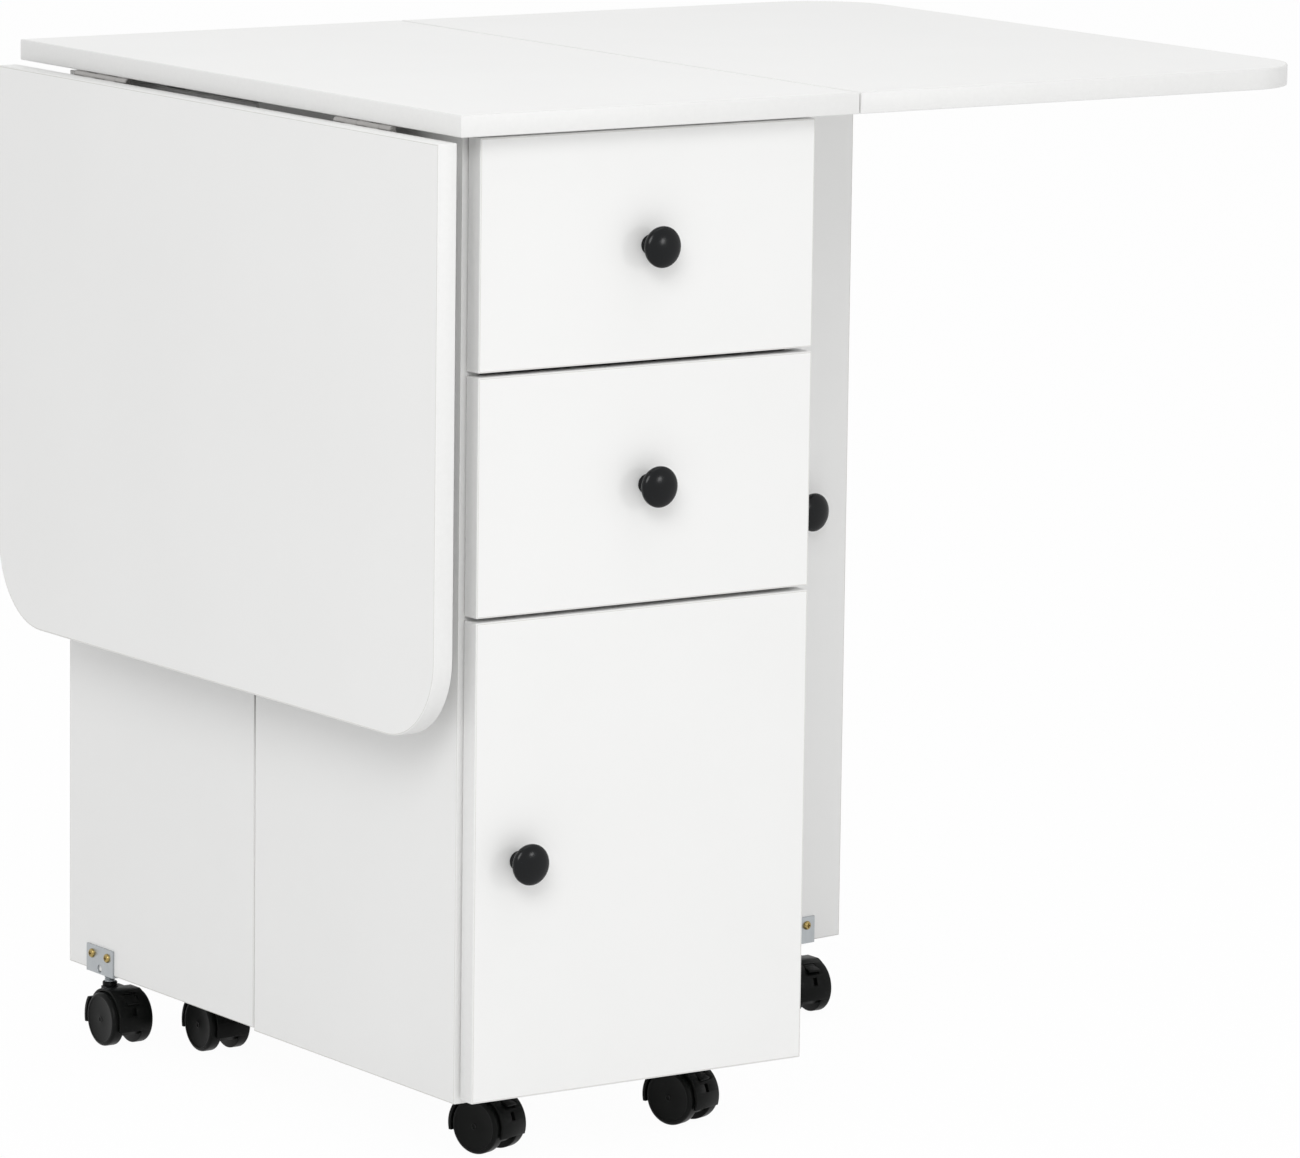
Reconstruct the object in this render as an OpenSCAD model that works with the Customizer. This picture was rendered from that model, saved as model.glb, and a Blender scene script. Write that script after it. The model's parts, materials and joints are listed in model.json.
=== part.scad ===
// Drop-leaf table on six twin-wheel casters, over a slim cabinet with two drawers,
// a cupboard and two gate doors that carry the raised leaves.
// Millimetres. X to the right, Y to the back, Z up. The origin is on the floor
// under the middle of the fixed top. The left leaf hangs and the right leaf is up,
// carried by the right gate, as the table stands in use.

/* [Table top] */
// Height of the table top above the floor
table_h = 740; // [700:1:780]
// Width of the fixed middle top
top_w = 330; // [310:1:360]
// Length of the table top, front to back
top_l = 595; // [560:1:640]
// Width of each drop leaf
leaf_w = 412; // [340:1:450]
// Radius of the outer corners of a leaf
leaf_corner_r = 60; // [20:1:90]
// Thickness of every board of the carcass, fronts, gates and tops
board_t = 15; // [12:0.5:18]
// Gap between the fixed top and a raised leaf
leaf_seam = 1.5; // [0.8:0.1:2]

/* [Cabinet] */
// How far the fixed top stands out past each side of the cabinet
side_overhang = 22.5; // [22:0.5:28]
// Height of the cabinet's underside above the floor
cab_z = 50; // [50:1:60]
// How far the top stands out past the drawer fronts
front_overhang = 16; // [8:1:25]
// How far the top stands out past the back panel
back_overhang = 34; // [15:1:50]
// Gap between the fronts and the edges of the side panels
front_gap = 2; // [2:0.1:3]
// Strip of each side panel's edge left bare beside a front
reveal = 3.5; // [2:0.5:6]
// Gap between neighbouring fronts
front_seam = 3; // [2:0.5:4]
// Height of the upper drawer's front
upper_h = 160.5; // [140:0.5:180]
// Height of the lower drawer's front
lower_h = 166; // [140:0.5:180]
// Depth of the rail under the front of the top
rail_depth = 60; // [40:1:90]
// Height of the cupboard shelf above the cabinet's underside
cupboard_shelf_up = 165; // [100:1:230]
// Distance of the cupboard shelf's front edge from the side panels' front edges
shelf_setback = 15; // [5:1:40]
// Clearance at each end of a loose shelf
shelf_play = 1; // [0.5:0.1:2]
// Number of shelves behind the gates
rear_shelf_n = 2; // [1:1:3]
// Radius of a shelf pin
pin_r = 2.5; // [2:0.1:3]
// Length of a shelf pin
pin_l = 18; // [14:1:22]
// Distance of the cupboard's shelf pins from the front and back of their space
pin_in = 42; // [20:1:60]
// Distance of the rear shelves' pins from the cabinet's middle
rear_pin_x = 80; // [60:1:110]

/* [Gates] */
// Gap between a gate's hinged edge and the fixed side panel
gate_seam = 1.2; // [1.2:0.1:2]
// Gap between the top of a gate and the leaf above it, which leaves room for the hinges
gate_top_gap = 5.5; // [5.5:0.1:8]
// Distance from a gate's hinge to the glide that carries the leaf
gate_glide_y = 118; // [90:1:125]
// Gap between the back panel's edges and a closed gate
back_gap = 1.5; // [1:0.1:3]
// Height of a gate's lower edge above the cabinet's underside
gate_lift = 2; // [1:0.5:5]
// How far the right gate is swung out, from closed
gate_open = 82; // [70:1:90]
// Distance of a gate's knob from its free edge
gate_knob_in = 50; // [40:1:70]
// Distance of a gate's caster from its free edge
gate_caster_in = 46.5; // [40:0.5:47]
// Height of a gate's lower hinge above the cabinet's underside
low_hinge_up = 280; // [150:1:320]
// Depth of a gate's upper hinge below the top
high_hinge_down = 95; // [80:1:150]

/* [Drawers] */
// Width taken by a slide between drawer box and side panel
slide_t = 12.5; // [12.5:0.1:13]
// Length of a drawer box behind its front
drawer_l = 235; // [200:1:240]
// Height of a drawer box
drawer_box_h = 100; // [70:1:120]
// Height of a drawer box above its front's lower edge
drawer_box_up = 13.5; // [8:0.5:20]
// Thickness of a drawer box's sides and back
drawer_side_t = 12; // [10:0.5:15]
// Thickness of a drawer's bottom panel
drawer_bottom_t = 3; // [3:0.5:5]
// Depth of the groove that holds the bottom panel
groove_d = 5; // [3:0.5:6]
// Height of the bottom panel above the box's lower edge
bottom_up = 10; // [6:0.5:15]
// Height of a slide's outer channel
channel_h = 35; // [35:0.5:38]
// Thickness of a slide's steel
channel_t = 1.2; // [1:0.1:1.5]

/* [Hinges] */
// Outside radius of a hinge barrel
barrel_r = 2.3; // [2.1:0.1:2.4]
// Radius of a hinge pin
hinge_pin_r = 1.2; // [1:0.1:1.3]
// Running clearance round a pin or an axle
run_fit = 0.05; // [0.03:0.01:0.08]
// Length of a leaf hinge
leaf_hinge_l = 72; // [50:1:90]
// Distance of a leaf hinge's middle from the middle of the top
leaf_hinge_y = 177; // [140:1:220]
// Width of a leaf hinge's plate
leaf_plate_w = 22; // [18:1:22]
// Thickness of a leaf hinge's plate
leaf_plate_t = 1.2; // [1:0.1:1.4]
// Height of a gate or door hinge
butt_h = 60; // [40:1:70]
// Distance of the door's hinges from its upper and lower edges
door_hinge_in = 45; // [30:1:80]
// How deep each plate of a gate's hinge is let into its edge
hinge_sunk = 0.5; // [0.5:0.1:1]
// Thickness of a gate or door hinge's plate
butt_plate_t = 0.9; // [0.8:0.05:0.9]

/* [Knobs] */
// Radius of a knob's cap
knob_r = 14.5; // [12:0.5:16]
// How far a knob stands out
knob_h = 22; // [18:0.5:23]
// Radius of a knob's neck
knob_neck_r = 5.5; // [4:0.5:7]
// Radius of a knob's foot
knob_foot_r = 7; // [6:0.5:9]
// Height of the door knob above the cabinet's underside
door_knob_up = 171; // [100:1:250]
// Distance of the door knob from the door's free edge
door_knob_in = 36; // [25:1:60]

/* [Casters] */
// Radius of a caster wheel
wheel_r = 20; // [18:0.5:20]
// Distance between the outer faces of a caster's two wheels
wheels_w = 34.5; // [32:0.5:35]
// Width of the hood's web between the wheels
web_w = 15; // [14:0.1:16]
// Gap between a wheel and the hood
wheel_gap = 0.8; // [0.6:0.1:1.2]
// Width of the hood's fender over the wheels
hood_w = 26; // [20:0.5:28]
// Thickness of the fender
fender_t = 2; // [1.5:0.1:2.2]
// Distance from the swivel axis to the axle
trail = 15; // [13:0.5:16]
// Radius of an axle
axle_r = 2.5; // [2:0.1:3]
// Radius of the swivel stem
stem_r = 4; // [3.5:0.1:4.5]
// Radius of the hood's neck
neck_r = 5.5; // [5:0.1:7]
// How far the stem goes up past the cabinet's underside
stem_up = 10; // [6:0.5:12]
// Distance of the caster stems from the cabinet's outer sides
caster_in = 60; // [50:1:70]
// How far the two front stems stand to the left of centre
front_caster_shift = 4; // [0:0.5:5]
// Distance of the front stems from the front edge of the side panels
front_caster_in = 62; // [55:1:80]
// Distance of the rear stems from the back of the cabinet
rear_caster_in = 99; // [99:0.5:115]
// Angle that the front casters are turned, seen from above
front_caster_turn = 18; // [-30:1:30]
// Angle that a brake lever is pressed down through to lock the wheels
brake_press = 15; // [8:1:15]

/* [Hidden] */
$fn = 48;
eps = 0.01;
// Gap that keeps boards of one drawer apart, so each stays a piece of its own
joint_gap = 0.1;

white = "#f4f4f2";
black = "#1b1c1d";
steel = "#b9bcc0";

// Heights and places that follow from the sizes above
top_z = table_h - board_t;
cab_w = top_w - 2 * side_overhang;
front_y = -top_l / 2 + front_overhang;
carcass_y = front_y + board_t + front_gap;
back_y = top_l / 2 - back_overhang;
side_y = 0;
inner_x = cab_w / 2 - board_t;
front_w = cab_w - 2 * reveal;
back_w = 2 * (inner_x - back_gap);
gate_l = back_y - side_y - gate_seam;
gate_z = cab_z + gate_lift;
gate_h = top_z - gate_top_gap - gate_z;
upper_z = top_z - front_seam - upper_h;
lower_z = upper_z - front_seam - lower_h;
door_z = cab_z + front_seam;
door_h = lower_z - front_seam - door_z;
middle_z = lower_z - (front_seam + board_t) / 2;
cupboard_shelf_z = cab_z + cupboard_shelf_up;

// Hinge axes: a leaf turns on a line under the seam, a gate and the door on
// upright lines just outside the corner of the side panel
leaf_axis_x = top_w / 2 + leaf_seam / 2;
leaf_axis_z = top_z - barrel_r - 0.2;
hinge_axis_x = cab_w / 2 + barrel_r + 0.1;
gate_axis_y = side_y + gate_seam / 2;
door_axis_y = carcass_y - front_gap / 2;
gate_hinge_zs = [cab_z + low_hinge_up, top_z - high_hinge_down];
door_hinge_zs = [door_z + door_hinge_in, door_z + door_h - door_hinge_in - butt_h];

// Where the casters' stems stand
stem_x = cab_w / 2 - caster_in;
front_stem_xs = [-stem_x - front_caster_shift, stem_x - front_caster_shift];
front_stem_y = carcass_y + front_caster_in;
rear_stem_y = back_y - rear_caster_in;
gate_stem_x = cab_w / 2 - board_t / 2;
gate_stem_y = back_y - gate_caster_in;
stem_foot_z = 36;

// ---------------------------------------------------------------- helpers

module box(low, high) {
    translate(low) cube(high - low);
}

module mirror_x(side) {
    mirror([side < 0 ? 1 : 0, 0, 0]) children();
}

module turn_about(point, angle) {
    translate(point) rotate([0, 0, angle]) translate(-point) children();
}

// ---------------------------------------------------------------- top and leaves

module centre_top() {
    color(white) box([-top_w / 2, -top_l / 2, top_z], [top_w / 2, top_l / 2, table_h]);
}

// Outline of a leaf from its hinged edge, with two rounded outer corners
module leaf_outline() {
    r = leaf_corner_r;
    translate([0, -top_l / 2]) square([leaf_w - r, top_l]);
    translate([0, -top_l / 2 + r]) square([leaf_w, top_l - 2 * r]);
    for (y = [-1, 1]) translate([leaf_w - r, y * (top_l / 2 - r)]) circle(r);
}

// The raised right leaf
module leaf_board() {
    translate([top_w / 2 + leaf_seam, 0, top_z]) linear_extrude(board_t) leaf_outline();
}

// Turns what is drawn for the raised right leaf into the hanging left one
module hang_left() {
    mirror([1, 0, 0]) translate([leaf_axis_x, 0, leaf_axis_z]) rotate([0, 90, 0])
        translate([-leaf_axis_x, 0, -leaf_axis_z]) children();
}

module right_leaf() { color(white) leaf_board(); }
module left_leaf() { color(white) hang_left() leaf_board(); }

// ---------------------------------------------------------------- hinges

// Knuckles along +Z on the origin, every second one, starting with number first
module knuckles(length, first, count = 5) {
    pitch = length / count;
    for (i = [first : 2 : count - 1])
        translate([0, 0, i * pitch + 0.1]) difference() {
            cylinder(r = barrel_r, h = pitch - 0.2);
            translate([0, 0, -1]) cylinder(r = hinge_pin_r + run_fit, h = pitch + 2);
        }
}

// Arms that join the knuckles to a plate: the plate's inner face is at y = low,
// its outer face at y = high, and it starts at x = start
module knuckle_arms(length, first, low, high, start, count = 5) {
    pitch = length / count;
    for (i = [first : 2 : count - 1])
        difference() {
            box([0, low, i * pitch + 0.1], [start + eps, high, (i + 1) * pitch - 0.1]);
            translate([0, 0, i * pitch - 1]) cylinder(r = hinge_pin_r + run_fit, h = pitch + 2);
        }
}

// One half of a hinge with its pin along Z. The plate reaches out along +X.
module hinge_half(length, first, low, high, start, reach) {
    knuckles(length, first);
    knuckle_arms(length, first, low, high, start);
    box([start, low, 0], [reach, high, length]);
}

module hinge_pin(length) {
    translate([0, 0, -0.9]) cylinder(r = hinge_pin_r, h = length + 1.8);
    for (z = [-0.9, length + 0.1]) translate([0, 0, z]) cylinder(r = barrel_r - 0.2, h = 0.8);
}

// Stands a leaf hinge's pin along Y on the raised right leaf's axis. side is 1 for
// the half under the leaf and -1 for the half under the fixed top.
module at_leaf_hinge(y, side) {
    translate([leaf_axis_x, y + leaf_hinge_l / 2, leaf_axis_z]) rotate([90, 0, 0])
        mirror_x(side) children();
}

leaf_plate_high = top_z - leaf_axis_z;
leaf_plate_low = leaf_plate_high - leaf_plate_t;

module leaf_hinge_half(y, side, first) {
    at_leaf_hinge(y, side)
        hinge_half(leaf_hinge_l, first, leaf_plate_low, leaf_plate_high,
                   barrel_r + 0.2, leaf_plate_w);
}

module leaf_hinge_plates() {
    color(steel)
        for (side = [-1, 1], y = [-leaf_hinge_y, leaf_hinge_y])
            mirror_x(side) leaf_hinge_half(y, -1, 0);
}

module moving_leaf_hinges() {
    for (y = [-leaf_hinge_y, leaf_hinge_y]) leaf_hinge_half(y, 1, 1);
}

module right_leaf_hinges() { color(steel) moving_leaf_hinges(); }
module left_leaf_hinges() { color(steel) hang_left() moving_leaf_hinges(); }

// A butt hinge stands on z with its plates between two edges. side turns it over.
module butt_half(z, axis_y, side, first, reach) {
    low = 0.1;
    translate([hinge_axis_x, axis_y, z]) mirror([1, 0, 0]) mirror([0, side < 0 ? 1 : 0, 0])
        hinge_half(butt_h, first, low, low + butt_plate_t, barrel_r + 0.2, reach);
}

butt_reach = barrel_r + 0.1 + board_t - 1;

module butt_hinge_plates() {
    color(steel) {
        for (side = [-1, 1], z = gate_hinge_zs)
            mirror_x(side) butt_half(z, gate_axis_y, -1, 0, butt_reach);
        for (z = door_hinge_zs) butt_half(z, door_axis_y, 1, 0, butt_reach);
    }
}

module hinge_pins() {
    color(steel) {
        for (side = [-1, 1]) {
            for (y = [-leaf_hinge_y, leaf_hinge_y])
                mirror_x(side) at_leaf_hinge(y, 1) hinge_pin(leaf_hinge_l);
            for (z = gate_hinge_zs)
                mirror_x(side) translate([hinge_axis_x, gate_axis_y, z]) hinge_pin(butt_h);
        }
        for (z = door_hinge_zs) translate([hinge_axis_x, door_axis_y, z]) hinge_pin(butt_h);
    }
}

// ---------------------------------------------------------------- carcass

// Shallow recesses for the gate hinges' plates: in the side panel's edge if way is -1,
// in the gate's edge if it is 1
module hinge_recesses(way) {
    for (z = gate_hinge_zs)
        translate([0, gate_axis_y, z]) mirror([0, way < 0 ? 1 : 0, 0])
            box([inner_x + 0.8, 0, -0.1],
                [cab_w / 2 + 1, gate_seam / 2 + hinge_sunk, butt_h + 0.1]);
}

// A side panel covers the front half of the cabinet; the gate covers the rest
module side_panel(side) {
    color(white) difference() {
        mirror_x(side) box([inner_x, carcass_y, cab_z], [cab_w / 2, side_y, top_z]);
        pin_holes(cupboard_pins, pin_l / 2 + 1);
        mirror_x(side) hinge_recesses(-1);
    }
}

module left_side_panel() { side_panel(-1); }
module right_side_panel() { side_panel(1); }

module divider() {
    color(white) difference() {
        box([-inner_x, side_y - board_t, cab_z], [inner_x, side_y, top_z]);
        pin_holes(rear_pins, pin_l / 2 + 1);
    }
}

module back_panel() {
    color(white) difference() {
        box([-back_w / 2, back_y - board_t, cab_z], [back_w / 2, back_y, top_z]);
        pin_holes(rear_pins, pin_l / 2 + 1);
    }
}

module front_base() {
    color(white) difference() {
        box([-inner_x, carcass_y, cab_z], [inner_x, side_y - board_t, cab_z + board_t]);
        for (x = front_stem_xs) translate([x, front_stem_y, cab_z - 1])
            cylinder(r = stem_r + run_fit, h = stem_up + 2);
    }
}

module rear_base() {
    color(white) difference() {
        box([-back_w / 2, side_y, cab_z], [back_w / 2, back_y - board_t, cab_z + board_t]);
        for (x = [-stem_x, stem_x]) translate([x, rear_stem_y, cab_z - 1])
            cylinder(r = stem_r + run_fit, h = stem_up + 2);
    }
}

module middle_board() {
    color(white)
        box([-inner_x, carcass_y, middle_z], [inner_x, side_y - board_t, middle_z + board_t]);
}

module top_rail() {
    color(white)
        box([-inner_x, carcass_y, top_z - board_t], [inner_x, carcass_y + rail_depth, top_z]);
}

module cupboard_shelf() {
    color(white)
        box([-inner_x + shelf_play, carcass_y + shelf_setback, cupboard_shelf_z],
            [inner_x - shelf_play, side_y - board_t - shelf_play, cupboard_shelf_z + board_t]);
}

// Undersides of the shelves behind the gates, spread over the height
rear_space = top_z - cab_z - board_t;
rear_shelf_zs = [for (i = [1 : rear_shelf_n]) cab_z + board_t + rear_space * i / (rear_shelf_n + 1)];

module rear_shelves() {
    color(white)
        for (z = rear_shelf_zs)
            box([-back_w / 2, side_y + shelf_play, z],
                [back_w / 2, back_y - board_t - shelf_play, z + board_t]);
}

// Shelf pins, as [place, direction of the pin's hole]
pin_drop = pin_r + 0.05;
cupboard_pins = [
    for (side = [-1, 1], y = [carcass_y + pin_in, side_y - board_t - pin_in])
        [[side * inner_x, y, cupboard_shelf_z - pin_drop], [0, 90, 0]]
];
rear_pins = [
    for (z = rear_shelf_zs, y = [side_y, back_y - board_t], x = [-rear_pin_x, rear_pin_x])
        [[x, y, z - pin_drop], [90, 0, 0]]
];

module pin_holes(pins, depth) {
    for (p = pins) translate(p[0]) rotate(p[1]) cylinder(r = pin_r + run_fit, h = 2 * depth, center = true);
}

module shelf_pins() {
    color(steel)
        for (p = concat(cupboard_pins, rear_pins))
            translate(p[0]) rotate(p[1]) cylinder(r = pin_r, h = pin_l, center = true);
}

// ---------------------------------------------------------------- drawers

// Cross-section of a slide's fixed channel, which opens towards the drawer
channel_depth = 9;
lip = 2.8;

module channel_section() {
    h = channel_h / 2;
    difference() {
        translate([-channel_depth, -h]) square([channel_depth, channel_h]);
        translate([-channel_depth + channel_t, -h + channel_t])
            square([channel_depth - 2 * channel_t, channel_h - 2 * channel_t]);
        translate([-channel_depth - 1, -h + channel_t + lip])
            square([channel_t + 2, channel_h - 2 * channel_t - 2 * lip]);
    }
}

// The member on the drawer: a web on the drawer's side, and lips caught in the channel
module member_section() {
    play = 0.3;
    h = channel_h / 2 - channel_t - lip - play;
    reach = slide_t - channel_t - 1.8;
    square_h = channel_h / 2 - channel_t - play;
    translate([0, -h]) square([channel_t, 2 * h]);
    for (s = [-1, 1]) mirror([0, s < 0 ? 1 : 0]) {
        translate([0, h - channel_t]) square([reach, channel_t]);
        translate([reach - channel_t, h - channel_t]) square([channel_t, square_h - h + channel_t]);
    }
}

slide_y0 = carcass_y + 2;
slide_l = drawer_l - 8;
slide_up = drawer_box_h / 2;

module slide_channels() {
    color(steel)
        for (z = [upper_z, lower_z], side = [-1, 1])
            mirror_x(side) translate([inner_x, slide_y0 + slide_l, z + drawer_box_up + slide_up])
                rotate([90, 0, 0]) linear_extrude(slide_l) channel_section();
}

drawer_x = inner_x - slide_t;
box_front_y = front_y + board_t;

module drawer_front(z, h) {
    color(white) difference() {
        box([-front_w / 2, front_y, z], [front_w / 2, box_front_y, z + h]);
        drawer_groove(z);
    }
}

// Space that the bottom panel needs in the front and the sides
module drawer_groove(z) {
    g = joint_gap;
    low = z + drawer_box_up + bottom_up;
    box([-drawer_x + drawer_side_t - groove_d - g, box_front_y - groove_d - g, low - g],
        [drawer_x - drawer_side_t + groove_d + g, box_front_y + drawer_l + 1, low + drawer_bottom_t + g]);
}

module drawer_box(z) {
    low = z + drawer_box_up;
    high = low + drawer_box_h;
    back = box_front_y + drawer_l;
    color(white) {
        for (side = [-1, 1]) difference() {
            mirror_x(side) box([drawer_x - drawer_side_t, box_front_y, low], [drawer_x, back, high]);
            drawer_groove(z);
        }
        box([-drawer_x + drawer_side_t + joint_gap, back - drawer_side_t,
             low + bottom_up + drawer_bottom_t + joint_gap],
            [drawer_x - drawer_side_t - joint_gap, back, high]);
    }
}

module drawer_bottom(z) {
    low = z + drawer_box_up + bottom_up;
    color(white)
        box([-drawer_x + drawer_side_t - groove_d, box_front_y - groove_d, low],
            [drawer_x - drawer_side_t + groove_d, box_front_y + drawer_l, low + drawer_bottom_t]);
}

module drawer_slides(z) {
    color(steel)
        for (side = [-1, 1])
            mirror_x(side) translate([drawer_x, slide_y0 + slide_l, z + drawer_box_up + slide_up])
                rotate([90, 0, 0]) linear_extrude(slide_l) member_section();
}

module upper_drawer_front() { drawer_front(upper_z, upper_h); }
module upper_drawer_box() { drawer_box(upper_z); }
module upper_drawer_bottom() { drawer_bottom(upper_z); }
module upper_drawer_slides() { drawer_slides(upper_z); }
module upper_drawer_knob() { front_knob([0, front_y, upper_z + upper_h / 2]); }
module lower_drawer_front() { drawer_front(lower_z, lower_h); }
module lower_drawer_box() { drawer_box(lower_z); }
module lower_drawer_bottom() { drawer_bottom(lower_z); }
module lower_drawer_slides() { drawer_slides(lower_z); }
module lower_drawer_knob() { front_knob([0, front_y, lower_z + lower_h / 2]); }

// ---------------------------------------------------------------- knobs

// Points of an elliptic arc, from angle a to angle b
function arc(centre, rx, ry, a, b, n = 8) =
    [for (i = [0 : n]) centre + [rx * cos(a + (b - a) * i / n), ry * sin(a + (b - a) * i / n)]];

// A turned knob that stands up along +Z
module knob() {
    cap_low = knob_h * 0.6;
    rim = knob_h * 0.77;
    color(black) rotate_extrude()
        polygon(concat(
            [[0, 0], [knob_foot_r, 0], [knob_foot_r, 1.5], [knob_neck_r, 3.5], [knob_neck_r, cap_low - 2]],
            arc([knob_r - 1.5, rim], 1.5, rim - cap_low - 0.5, -80, 0, 3),
            arc([0, rim], knob_r, knob_h - rim, 10, 90)
        ));
}

module front_knob(place) {
    translate(place) rotate([90, 0, 0]) knob();
}

// ---------------------------------------------------------------- door

module door() {
    color(white) box([-front_w / 2, front_y, door_z], [front_w / 2, box_front_y, door_z + door_h]);
}

module door_hinges() {
    color(steel) for (z = door_hinge_zs) butt_half(z, door_axis_y, -1, 1, butt_reach);
}

module door_knob() {
    front_knob([-front_w / 2 + door_knob_in, front_y, cab_z + door_knob_up]);
}

// ---------------------------------------------------------------- gates

// Everything on a gate is drawn for the closed right gate. The left one is its
// mirror image, and the right one is swung out under its leaf.
module on_gate(side) {
    if (side < 0) mirror([1, 0, 0]) children();
    else turn_about([hinge_axis_x, gate_axis_y, 0], -gate_open) children();
}

module gate(side) {
    color(white) on_gate(side) difference() {
        box([inner_x, side_y + gate_seam, gate_z], [cab_w / 2, back_y, gate_z + gate_h]);
        hinge_recesses(1);
        translate([gate_stem_x, gate_stem_y, gate_z - 1])
            cylinder(r = stem_r + run_fit, h = stem_up + 2);
        for (y = screw_ys) translate([cab_w / 2 - screw_l - 1, y, bracket_screw_z])
            rotate([0, 90, 0]) cylinder(r = screw_r + run_fit, h = screw_l + 2);
    }
}

module gate_hinges(side) {
    color(steel) on_gate(side)
        for (z = gate_hinge_zs) butt_half(z, gate_axis_y, 1, 1, butt_reach);
}

module gate_knob(side) {
    on_gate(side) translate([cab_w / 2, back_y - gate_knob_in, gate_z + gate_h / 2])
        rotate([0, 90, 0]) knob();
}

bracket_w = 38;
bracket_t = 1.5;
bracket_up = 19;
bracket_screw_z = gate_z + 12.5;
screw_ys = [gate_stem_y - 11, gate_stem_y + 11];
screw_r = 1.75;
screw_l = 12;
screw_head_r = 3.2;

// A bent steel angle screwed to the gate's face, with a tab under its lower edge for
// the caster's stem
module gate_bracket(side) {
    y0 = gate_stem_y - bracket_w / 2;
    y1 = gate_stem_y + bracket_w / 2;
    x1 = cab_w / 2 + bracket_t;
    color(steel) on_gate(side) {
        difference() {
            union() {
                box([cab_w / 2, y0, gate_z - bracket_t], [x1, y1, gate_z + bracket_up]);
                box([inner_x + 1, y0, gate_z - bracket_t], [x1, y1, gate_z]);
            }
            translate([gate_stem_x, gate_stem_y, gate_z - 5]) cylinder(r = stem_r + run_fit, h = 10);
            translate([x1 - bracket_t - 1, gate_stem_y, gate_z + 2.5]) rotate([0, 90, 0])
                cylinder(r = 3, h = bracket_t + 2);
            for (y = screw_ys) translate([cab_w / 2 - 1, y, bracket_screw_z])
                rotate([0, 90, 0]) cylinder(r = screw_r + run_fit, h = bracket_t + 2);
        }
        for (y = screw_ys) translate([cab_w / 2 - screw_l, y, bracket_screw_z]) rotate([0, 90, 0]) {
            cylinder(r = screw_r, h = screw_l + bracket_t + 1);
            translate([0, 0, screw_l + bracket_t + run_fit])
                cylinder(r1 = screw_head_r, r2 = screw_head_r - 1, h = 1.8);
        }
        stem(gate_at, gate_z + stem_up);
    }
}

// The low-friction block on a gate's top edge that the raised leaf rests on
glide_l = 24;
glide_w = 9;

module gate_glide(side) {
    z0 = gate_z + gate_h;
    color(black) on_gate(side) {
        box([gate_stem_x - glide_w / 2, gate_axis_y + gate_glide_y - glide_l / 2, z0],
            [gate_stem_x + glide_w / 2, gate_axis_y + gate_glide_y + glide_l / 2, z0 + 3.5]);
        box([gate_stem_x - glide_w / 2 + 1, gate_axis_y + gate_glide_y - glide_l / 2 + 2, z0 + 3.4],
            [gate_stem_x + glide_w / 2 - 1, gate_axis_y + gate_glide_y + glide_l / 2 - 2,
             top_z - run_fit]);
    }
}

module left_gate() { gate(-1); }
module left_gate_hinges() { gate_hinges(-1); }
module left_gate_knob() { gate_knob(-1); }
module left_gate_bracket() { gate_bracket(-1); }
module left_gate_glide() { gate_glide(-1); }
module right_gate() { gate(1); }
module right_gate_hinges() { gate_hinges(1); }
module right_gate_knob() { gate_knob(1); }
module right_gate_bracket() { gate_bracket(1); }
module right_gate_glide() { gate_glide(1); }

// ---------------------------------------------------------------- casters

module stem(place, high) {
    color(steel) translate([place[0], place[1], stem_foot_z])
        cylinder(r = stem_r, h = high - stem_foot_z);
}

module caster_stems() {
    for (place = [front_left_at, front_right_at, rear_left_at, rear_right_at])
        stem(place, cab_z + stem_up);
}

// Turns a profile drawn as [distance behind the axle, height over the axle] upright,
// and draws it across the caster, w wide
module across(w) {
    translate([-w / 2, -trail, wheel_r]) rotate([90, 0, 90]) mirror([1, 0, 0])
        linear_extrude(w) children();
}

hood_r = wheel_r + wheel_gap + fender_t;
hood_top = hood_r - 1;
neck_top = cab_z - wheel_r - 5.5;
fender_front_low = -5.5;
fender_back_low = -7;
web_low = -11;
guard_out = 0.5;
guard_high = 14;
slot_w = 3.6;
slot_h = 6;
slot_up = 7.5;

// The brake lever is pinned in the web and its thin tongue sticks out of the fender.
// brake_pivot is the pin's place, as [distance behind the axle, height over the axle].
brake_pivot = [11.5, 16.8];
brake_w = 10;
brake_play = 0.3;
brake_pin_r = 1.3;
brake_root_r = 2.4;
tongue_l = 9;
tongue_at = -8;

// The fender's side view: a ring with a flat top that goes over the wheels
module fender_side() {
    intersection() {
        difference() {
            circle(hood_r);
            circle(wheel_r + wheel_gap);
        }
        polygon([
            [-30, fender_front_low], [0, fender_front_low], [0, fender_back_low],
            [30, fender_back_low], [30, hood_top], [-30, hood_top]
        ]);
    }
}

// The guard's side view: it covers the wheels' full width on their leading side
module guard_side() {
    intersection() {
        difference() {
            circle(hood_r + guard_out);
            circle(wheel_r + wheel_gap + 0.15);
        }
        translate([-30, fender_front_low]) square([29, guard_high - fender_front_low]);
    }
}

// The web's side view: it fills the ring and rises to a flat top beside the neck
module web_side() {
    intersection() {
        union() {
            circle(hood_r);
            translate([-trail, 0]) square([trail + 2, hood_top]);
        }
        polygon([
            [-30, fender_front_low], [-9, fender_front_low], [-7, -8], [8, web_low],
            [14, web_low], [17, fender_back_low], [30, fender_back_low],
            [30, hood_top], [-30, hood_top]
        ]);
    }
}

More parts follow.
